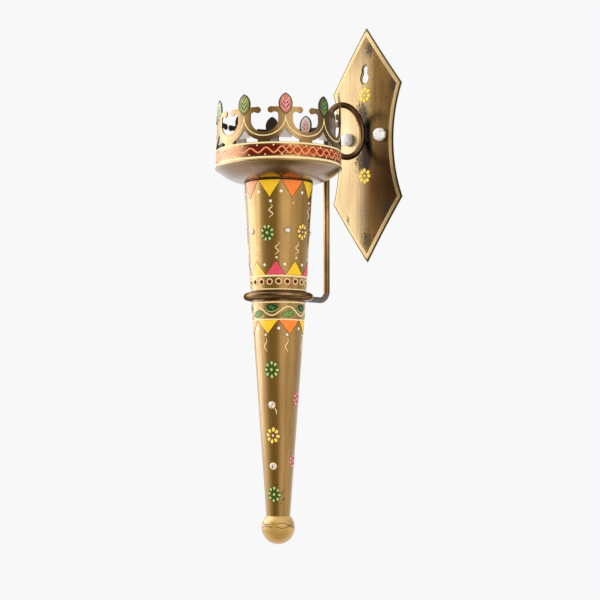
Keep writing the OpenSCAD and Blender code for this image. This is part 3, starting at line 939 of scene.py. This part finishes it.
# Painted rows of the lower tube
hoop(tube_cream, -5.9, 1.35, LINE_RISE)
VINE_WAVES, VINE_START, VINE_UP, VINE_SWING = 5, 22.2, -13.3, 3.75
vine_r = tube_radius(seam_z + VINE_UP * MM) / MM
vine_path = []
vine_steps = 200
for i in range(vine_steps + 1):
    a = 2 * math.pi * i / vine_steps
    vine_path.append((a * vine_r, VINE_SWING * math.cos(VINE_WAVES * a)))
tube_cream.add(on_tube(VINE_START, VINE_UP), stroke(vine_path, 1.15, LINE_RISE, taper=1.0))
dark_leaves = Layer("torch_dark_leaves", "deep_green")
pale_leaves = Layer("torch_pale_leaves", "leaf_green")
leaf_lights = Layer("torch_leaf_lights", "light_green")
LEAF_DABS = ((-3.4, -0.9, 40), (-0.6, 0.2, 60), (2.2, 0.9, 75), (-1.8, -1.6, 20), (1.0, -1.2, 30))
for k in range(VINE_WAVES):
    crest = VINE_START + k * 360 / VINE_WAVES
    # A dark leaf in the wave's trough, with paler veins and rim
    place = on_tube(crest + 36, -10.6)
    dark_leaves.add(place, blob(moved(leaf(6.4, 6.6), turn=90), PAINT_RISE))
    for turn in (-24, 12):
        vein = smooth_path([(-2.2, 0.9), (0.4, 0.1), (3.2, -1.6 + turn * 0.04)])
        pale_leaves.add(place, stroke(moved(vein, turn=turn), 1.1, LINE_RISE))
    rim = smooth_path([(-6.0, 1.8), (-3.6, -2.4), (0.4, -3.6), (4.6, -1.7), (6.6, 0.6)])
    leaf_lights.add(place, stroke(rim, 0.7, LINE_RISE))
    # A pale leaf under its crest, with light dabs
    place = on_tube(crest + 1, -15.6)
    pale_leaves.add(place, blob(moved(leaf(6.5, 7.1), turn=102), PAINT_RISE))
    for s0, t0, turn in LEAF_DABS:
        mark = moved(smooth_path([(-1.1, 0), (0, 0.35), (1.1, 0)]), s0, t0, turn)
        leaf_lights.add(place, stroke(mark, 0.75, LINE_RISE))
hoop(tube_cream, -20.4, 1.2, LINE_RISE)

BASE_TOP, BASE_DEPTH, BASE_SPREAD = -21.0, 11.6, 50.5
for deg, paint in flag_row(("yellow", "orange"), -25, 7, BASE_TOP, BASE_SPREAD, BASE_DEPTH):
    dot(tube_white, deg + 26.5, -27.8, 1.2)
    dot(tube_white, deg - 5, -33.2, 1.0)
    tendril(deg - 5.5, -35.6, 12.5, 1.2, 0.9, waves=1.25)

# Columns of flowers and stones down the lower tube, front and back
UPPER_STONE, LOWER_STONE = -91.8, -142.8
SCRATCHES = ((-6, -158.4, 0.9, 0.6), (17, -164.6, 1.3, 1.9), (23, -170.6, 1.6, 0.9), (13, -173.5, 0.5, 1.2))
for side in (0, 180):
    for up, kind, across in ((-62.4, "green", 15.4), (-117.3, "gold", 14.8), (-166.4, "green", 14.2)):
        tube_flower(-17 + side, up, kind, across)
    for deg, up, lean, rise in SCRATCHES:
        scratch = smooth_path([(-lean, -rise), (0.2, 0.1), (lean, rise)])
        brown_lines.add(on_tube(deg + side, up), stroke(scratch, 0.7, 0.08, taper=0.3))
    for up in (UPPER_STONE, LOWER_STONE):
        place = on_tube(-18 + side, up)
        tube_cream.add(place, stroke(circle(2.85, 22), 0.4, 0.35, closed=True))
        if up == UPPER_STONE:
            tail = smooth_path([(2.4, -2.4), (3.6, -4.8), (4.1, -8.0)])
            tube_cream.add(place, stroke(tail, 0.9, LINE_RISE))
    for up in (-86.6, -138.5):
        tube_flower(66 + side, up, "pink", 12.5)

# Crown: painted band, arches and leaves
PEAKS, FRONT_PEAK, DRIFT = 10, -38, 4.6
BAND_H, PEAK_H = 14.2, 40.8
PITCH = 360 / PEAKS
crown_cream = Layer("crown_cream_lines", "cream")
crown_ground = Layer("crown_rust_ground", "rust")
crown_waves = Layer("crown_gold_waves", "gold_line")
crown_brown = Layer("crown_leaf_outlines", "brown")
crown_bare = Layer("crown_bare_patches", "bare_grey")
# The kinds of leaves, and each kind's paint for each part of a leaf
KINDS = ("green", "rose", "pale", "dark", "blush")
LEAF_PAINTS = {
    "leaves": ("olive", "salmon", "sage", "dark_olive", "blush"),
    "hearts": ("green", "rose", "leaf_green", "deep_green", "salmon"),
    "veins": ("light_green", "pale_pink", "light_green", "fern", "blush"),
}
leaf_layers = {
    part: {kind: Layer(f"crown_{kind}_{part}", paint) for kind, paint in zip(KINDS, paints)}
    for part, paints in LEAF_PAINTS.items()
}


def peak_deg(k):
    """Direction of a peak, from the painted front."""
    return FRONT_PEAK - PAINT_FRONT + PITCH * k + DRIFT * math.sin(math.radians(PITCH * k))


def band_hoop(layer, up, width, rise):
    hoop(layer, up, width, rise, 0.06, on_band, band_r)


BAND_MID, BAND_LINE_RISE = 7.4, 0.2
band_hoop(crown_ground, BAND_MID, 9.4, 0.1)
band_hoop(crown_cream, BAND_H - 0.9, 1.5, BAND_LINE_RISE)
band_hoop(crown_cream, 1.15, 2.1, BAND_LINE_RISE)

# One wave all round, crossed by another on three arcs, with dabs beside them there
WAVES = 24
wave_steps = WAVES * 12
band_round = 2 * math.pi * band_r / MM
WAVE_ARCS = ((0, 1.75, 0, 360), (math.pi, 1.1, 0, 92), (math.pi, 1.1, 140, 205), (math.pi, 1.1, 245, 290))
for phase, width, first, last in WAVE_ARCS:
    path = []
    for i in range(first * wave_steps // 360, last * wave_steps // 360 + 1):
        u = 2 * math.pi * i / wave_steps
        swing = 2.5 + 0.7 * math.sin(3 * u + 2 * phase)
        up = swing * math.sin(WAVES * u + phase + 0.5 * math.sin(4 * u)) + 0.4 * math.sin(5 * u + phase)
        path.append((i / wave_steps * band_round, up))
    crown_waves.add(on_band(0, BAND_MID), stroke(path, width, 0.22, taper=1.0))
for first, last in ((4, 94), (136, 208), (240, 296)):
    for k in range(first, last, 4):
        for up, shift in ((4.4, 0), (10.4, 2)):
            dab = smooth_path([(-1.3, up - 0.5), (0, up + 0.6), (1.2, up - 0.3)])
            crown_waves.add(on_band(k + shift, 0), stroke(dab, 0.75, BAND_LINE_RISE, taper=0.5))
for k in range(WAVES * 2):
    deg = (k + 0.5) * 180 / WAVES
    up = BAND_MID + (3.9 if k % 2 else -3.9)
    crown_cream.add(on_band(deg, up), blob(circle(0.7, 10), LINE_RISE, DOME))

LEAF_W, LEAF_HALF = 9.8, 8.3
LEAF_UP = BAND_H + PEAK_H - 9.1
ARCH_TOP, ARCH_DEPTH, ARCH_STEPS = 21.6, 16.5, 30
BARE_TOP, BARE_H, BARE_HALF = BAND_H + 25.5, 22, 5.4
# Leaves of the dark kind, on the right front peak and a back peak, are darkened as painted shade
LEAF_KINDS = {0: "rose", 1: "dark", 4: "rose", 5: "dark", 7: "rose", 8: "pale"}
PAINTED_INSIDE = (4, 7)
bare = along([(-BARE_HALF, -BARE_H), (BARE_HALF, -BARE_H), (BARE_HALF, 0), (-BARE_HALF, 0)], 1.0)
heart = moved(leaf(LEAF_W * 0.7, LEAF_HALF * 0.76), 0, -1.3)
for k in range(PEAKS):
    deg = peak_deg(k)
    gap = peak_deg(k + 1) - deg
    half = math.radians(gap / 2) * band_r / MM
    path = []
    for i in range(ARCH_STEPS + 1):
        a = math.pi * i / ARCH_STEPS
        path.append((-half * math.cos(a), ARCH_TOP - ARCH_DEPTH * math.sin(a)))
    crown_cream.add(on_band(deg + gap / 2, BAND_H), stroke(path, 1.0, BAND_LINE_RISE, taper=0.8))
    crown_bare.add(on_band(deg, BARE_TOP, True), blob(bare, 0.08))
    for inside in (False, True) if k in PAINTED_INSIDE else (False,):
        kind = "blush" if inside else LEAF_KINDS.get(k, "green")
        ground, middle, veins = (leaf_layers[part][kind] for part in LEAF_PAINTS)
        place = on_band(deg, LEAF_UP, inside)
        ground.add(place, blob(leaf(LEAF_W, LEAF_HALF), 0.12))
        crown_brown.add(place, stroke(leaf(LEAF_W + 0.9, LEAF_HALF + 0.35), 0.8, 0.14, closed=True))
        middle.add(place, blob(heart, 0.16))
        veins.add(place, stroke(smooth_path([(0, -5.6), (0.2, -1), (0, 4.8)]), 1.0, 0.22))
        for t0 in (-6.0, -2.2, 1.4):
            for side in (-1, 1):
                vein = smooth_path([(0, t0), (side * 1.5, t0 + 1.4), (side * 2.8, t0 + 4.0)])
                veins.add(place, stroke(vein, 1.15, 0.22, taper=0.6))

# Back plate: gold border, dark edge, flowers and a painted shadow on the rim of the keyhole
plate_border = Layer("plate_gold_border", "border", WALL)
plate_petals = Layer("plate_flowers", "plate_yellow", WALL)
plate_line = Layer("plate_dark_edge", "brown", WALL)
PLATE_H, PLATE_W, WAIST_W, CORNER_GAP = 214.0, 83.4, 65.2, 102.6
# Each painted edge's layer, distance inside the plate's outline, width and rise
PLATE_EDGES = ((plate_border, 2.75, 4.0, 0.16), (plate_line, 0.55, 0.8, 0.1))
STRAIGHT_STEPS, CURVED_STEPS = 24, 16


def plate_edge(inset):
    """Points along the plate's outline, moved inwards by inset."""
    cut = (PLATE_W - WAIST_W) / 2
    waist_r = ((CORNER_GAP / 2) ** 2 + cut**2) / (2 * cut)
    centre = WAIST_W / 2 + waist_r
    rise = PLATE_H / 2 - CORNER_GAP / 2
    slant = math.hypot(PLATE_W / 2, rise)
    tip = PLATE_H / 2 - inset * slant / (PLATE_W / 2)
    # Where the moved straight edge meets the moved waist circle
    r = waist_r + inset
    corner = (PLATE_W / 2, CORNER_GAP / 2)
    for step in range(60):
        x = corner[0] - step * 0.25
        line_z = tip - x * rise / (PLATE_W / 2)
        arc = r * r - (centre - x) ** 2
        if arc >= 0 and math.sqrt(arc) <= line_z:
            corner = (x, line_z)
            break
    x1, z1 = corner
    edge = [(x1 * i / STRAIGHT_STEPS, tip + (z1 - tip) * i / STRAIGHT_STEPS) for i in range(STRAIGHT_STEPS)]
    top_a = math.asin(min(1, z1 / r))
    for i in range(CURVED_STEPS):
        a = top_a * (1 - i / CURVED_STEPS)
        edge.append((centre - r * math.cos(a), r * math.sin(a)))
    lower = [(x, -z) for x, z in reversed(edge[1:])]
    edge += [(centre - r, 0.0)] + lower
    left = [(-x, z) for x, z in reversed(edge[1:])]
    return edge + [(0.0, -tip)] + left


for layer, inset, width, rise in PLATE_EDGES:
    layer.add(on_plate(0, 0), stroke(list(reversed(plate_edge(inset))), width, rise, closed=True))
keyhole_up = -plate_mid_z / MM
# Painted shadow along the keyhole's left rim, where its inner wall lies in shade
KEYHOLE_RIM_SHADOW = (
    (1.8, 12.3), (-1.2, 12.2), (-3.5, 9.8), (-3.6, 5.8), (-4.9, 2.6), (-5.3, -0.6), (-3.9, -3.9),
    (-0.8, -5.4),
)
plate_line.add(on_plate(0, keyhole_up), stroke(smooth_path(KEYHOLE_RIM_SHADOW), 1.9, 0.08, taper=0.5))
for below in (15.7, 89.6):
    place = on_plate(0, keyhole_up - below)
    flower(place, 15.0, None, plate_petals, plate_petals, 0.95, rise=0.6, narrow=1)

for layer in Layer.made:
    layer.build()

# Finishes of the CAD nodes
gold_tube, steel = tube_gold(), plain_steel()
finishes = {
    "back_plate": plate_gold(),
    "plate_stones": stone_white("plate_stone", 0.9),
    "bracket_rod": dark_bronze(
        "rod_bronze", (60, 60, 25), (0.28, 0.165, 0.07), (0.50, 0.33, 0.17), foot=seam_z
    ),
    "loop_weld": braze("loop_braze", (0.02, 0.014, 0.011), (0.12, 0.09, 0.07)),
    "holder_ring": dark_bronze(
        "ring_bronze", (70, 70, 700), (0.12, 0.07, 0.03), (0.36, 0.235, 0.125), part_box("ring_weld")
    ),
    "ring_weld": braze("ring_braze", (0.22, 0.19, 0.165), (0.62, 0.58, 0.53)),
    "upper_cone": gold_tube, "lower_cone": gold_tube,
    "cone_sleeve": steel, "top_disc": steel, "tie_bolt": steel, "pan_washer": steel,
    "ball_finial": ball_gold(),
    "candle_pan": pan_bronze(),
    "crown_band": crown_gold(),
    "upper_stones": stone_white("tube_stone", 1.0),
    "lower_stones": drop_stone(),
}
for name, finish in finishes.items():
    mesh = nodes[name].data
    mesh.materials.clear()
    mesh.materials.append(finish)

# Camera, as in the photograph
CAM_AZ, CAM_EL, CAM_FAR = math.radians(45), math.radians(-4.4), 1.36
AIM_Z, AIM_RIGHT = -0.2078, 0.0183
towards = Vector((math.sin(CAM_AZ), -math.cos(CAM_AZ), 0))
rightwards = Vector((math.cos(CAM_AZ), math.sin(CAM_AZ), 0))
pivot = Vector((axis.x, axis.y, AIM_Z)) + rightwards * AIM_RIGHT
camera = new_object("camera", bpy.data.cameras.new("camera"))
camera.data.sensor_width = 36
camera.data.lens = 96
camera.location = pivot + CAM_FAR * (towards * math.cos(CAM_EL) + Vector((0, 0, math.sin(CAM_EL))))
camera.rotation_euler = (pivot - camera.location).to_track_quat("-Z", "Y").to_euler()
bpy.context.scene.camera = camera


def softbox(name, deg, height, far, width, tall, radiance, colour=(1, 1, 1)):
    """Rectangular lamp that faces the torch; deg is from the camera's direction."""
    a = math.radians(deg)
    out = towards * math.cos(a) + rightwards * math.sin(a)
    aim = Vector((axis.x, axis.y, pivot.z))
    lamp = bpy.data.lights.new(name, "AREA")
    lamp.shape = "RECTANGLE"
    lamp.size, lamp.size_y = width, tall
    lamp.energy = radiance * math.pi * width * tall
    lamp.color = colour
    holder = new_object(name, lamp)
    holder.location = aim + out * far + Vector((0, 0, height))
    holder.rotation_euler = (aim - holder.location).to_track_quat("-Z", "Y").to_euler()
    holder.visible_camera = False


DAYLIGHT = (0.93, 1.0, 1.14)
softbox("key_left", -111, 0.48, 1.15, 1.08, 1.5, 2.5, DAYLIGHT)
softbox("key_front_left", -76, 0.48, 0.95, 0.3, 1.5, 2.3, DAYLIGHT)
softbox("fill_right", 24, 0.2, 1.5, 1.02, 1.6, 1.15)
softbox("side_right", 66, 0.2, 1.5, 1.1, 1.6, 0.5)
softbox("top_soft", 180, 1.3, 0.35, 1.0, 1.0, 0.8)

# Pale floor, which fades into the background
WHITE = (0.94, 0.94, 0.945)
WARM_FRONT = (0.27, 0.215, 0.105)
FLOOR_Z, FLOOR_R = -0.75, 12.0
floor_mesh = bpy.data.meshes.new("floor")
corners = [(s * FLOOR_R, t * FLOOR_R, FLOOR_Z) for s, t in ((-1, -1), (1, -1), (1, 1), (-1, 1))]
floor_mesh.from_pydata(corners, [], [(0, 1, 2, 3)])
floor = new_object("floor", floor_mesh)
fs = Shader("floor_paper", Roughness=0.9)
fs.colour(fs.ramp(fs.noise(30), (0.3, 0.7), ((0.80, 0.80, 0.805), (0.84, 0.84, 0.845))))
glow = fs.node("ShaderNodeEmission")
blend = fs.node("ShaderNodeMixShader")
far = fs.length(fs.x, fs.y)
ray = fs.node("ShaderNodeLightPath").outputs
clear = fs.largest(ray["Is Camera Ray"], ray["Is Transmission Ray"])
seen = fs.times(fs.level(far, 0.3, 1.6, 0.55, 1.0), clear)
fs.wire(fs.largest(seen, ray["Is Glossy Ray"]), blend.inputs["Fac"])
# In a reflection the floor darkens towards the studio's dark front
ahead = fs.plus(fs.times(fs.x, towards.x), fs.times(fs.y, towards.y))
in_front = fs.level(fs.math("DIVIDE", ahead, fs.largest(far, 0.05)), -0.2, 0.75)
fs.wire(fs.mix(fs.times(ray["Is Glossy Ray"], in_front), WHITE, WARM_FRONT), glow.inputs["Color"])
fs.wire(fs.bsdf.outputs["BSDF"], blend.inputs[1])
fs.wire(glow.outputs["Emission"], blend.inputs[2])
fs.wire(blend.outputs["Shader"], fs.tree.nodes["Material Output"].inputs["Surface"])
floor_mesh.materials.append(fs.mat)
floor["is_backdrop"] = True

# The studio's white surround, which is dark in front in reflections
STUDIO_GREY = (0.9, 0.9, 0.9)
world = bpy.data.worlds.new("studio")
bpy.context.scene.world = world
world.use_nodes = True
room = Tree(world.node_tree)
room.tree.nodes.clear()
ray = room.node("ShaderNodeLightPath").outputs
direction = room.node("ShaderNodeTexCoord").outputs["Generated"]
facing = room.node("ShaderNodeVectorMath", operation="DOT_PRODUCT")
facing.inputs[1].default_value = -towards
room.wire(direction, facing.inputs[0])
upward = room.node("ShaderNodeSeparateXYZ")
room.wire(direction, upward.inputs["Vector"])
behind = room.level(facing.outputs["Value"], 0.1, 0.95)
above = room.level(upward.outputs["Z"], 0.25, 0.8)
mirrored_room = room.mix(room.largest(behind, above), WARM_FRONT, STUDIO_GREY)
lit_room = room.mix(ray["Is Glossy Ray"], STUDIO_GREY, mirrored_room)
clear = room.largest(ray["Is Camera Ray"], ray["Is Transmission Ray"])
background = room.node("ShaderNodeBackground")
room.wire(room.mix(clear, lit_room, WHITE), background.inputs["Color"])
out = room.node("ShaderNodeOutputWorld")
room.wire(background.outputs["Background"], out.inputs["Surface"])

bpy.context.scene.view_settings.view_transform = "Standard"

boxes = {"cad": cad_box, "visual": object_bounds()}
{key: [list(corner) for corner in box] for key, box in boxes.items()}
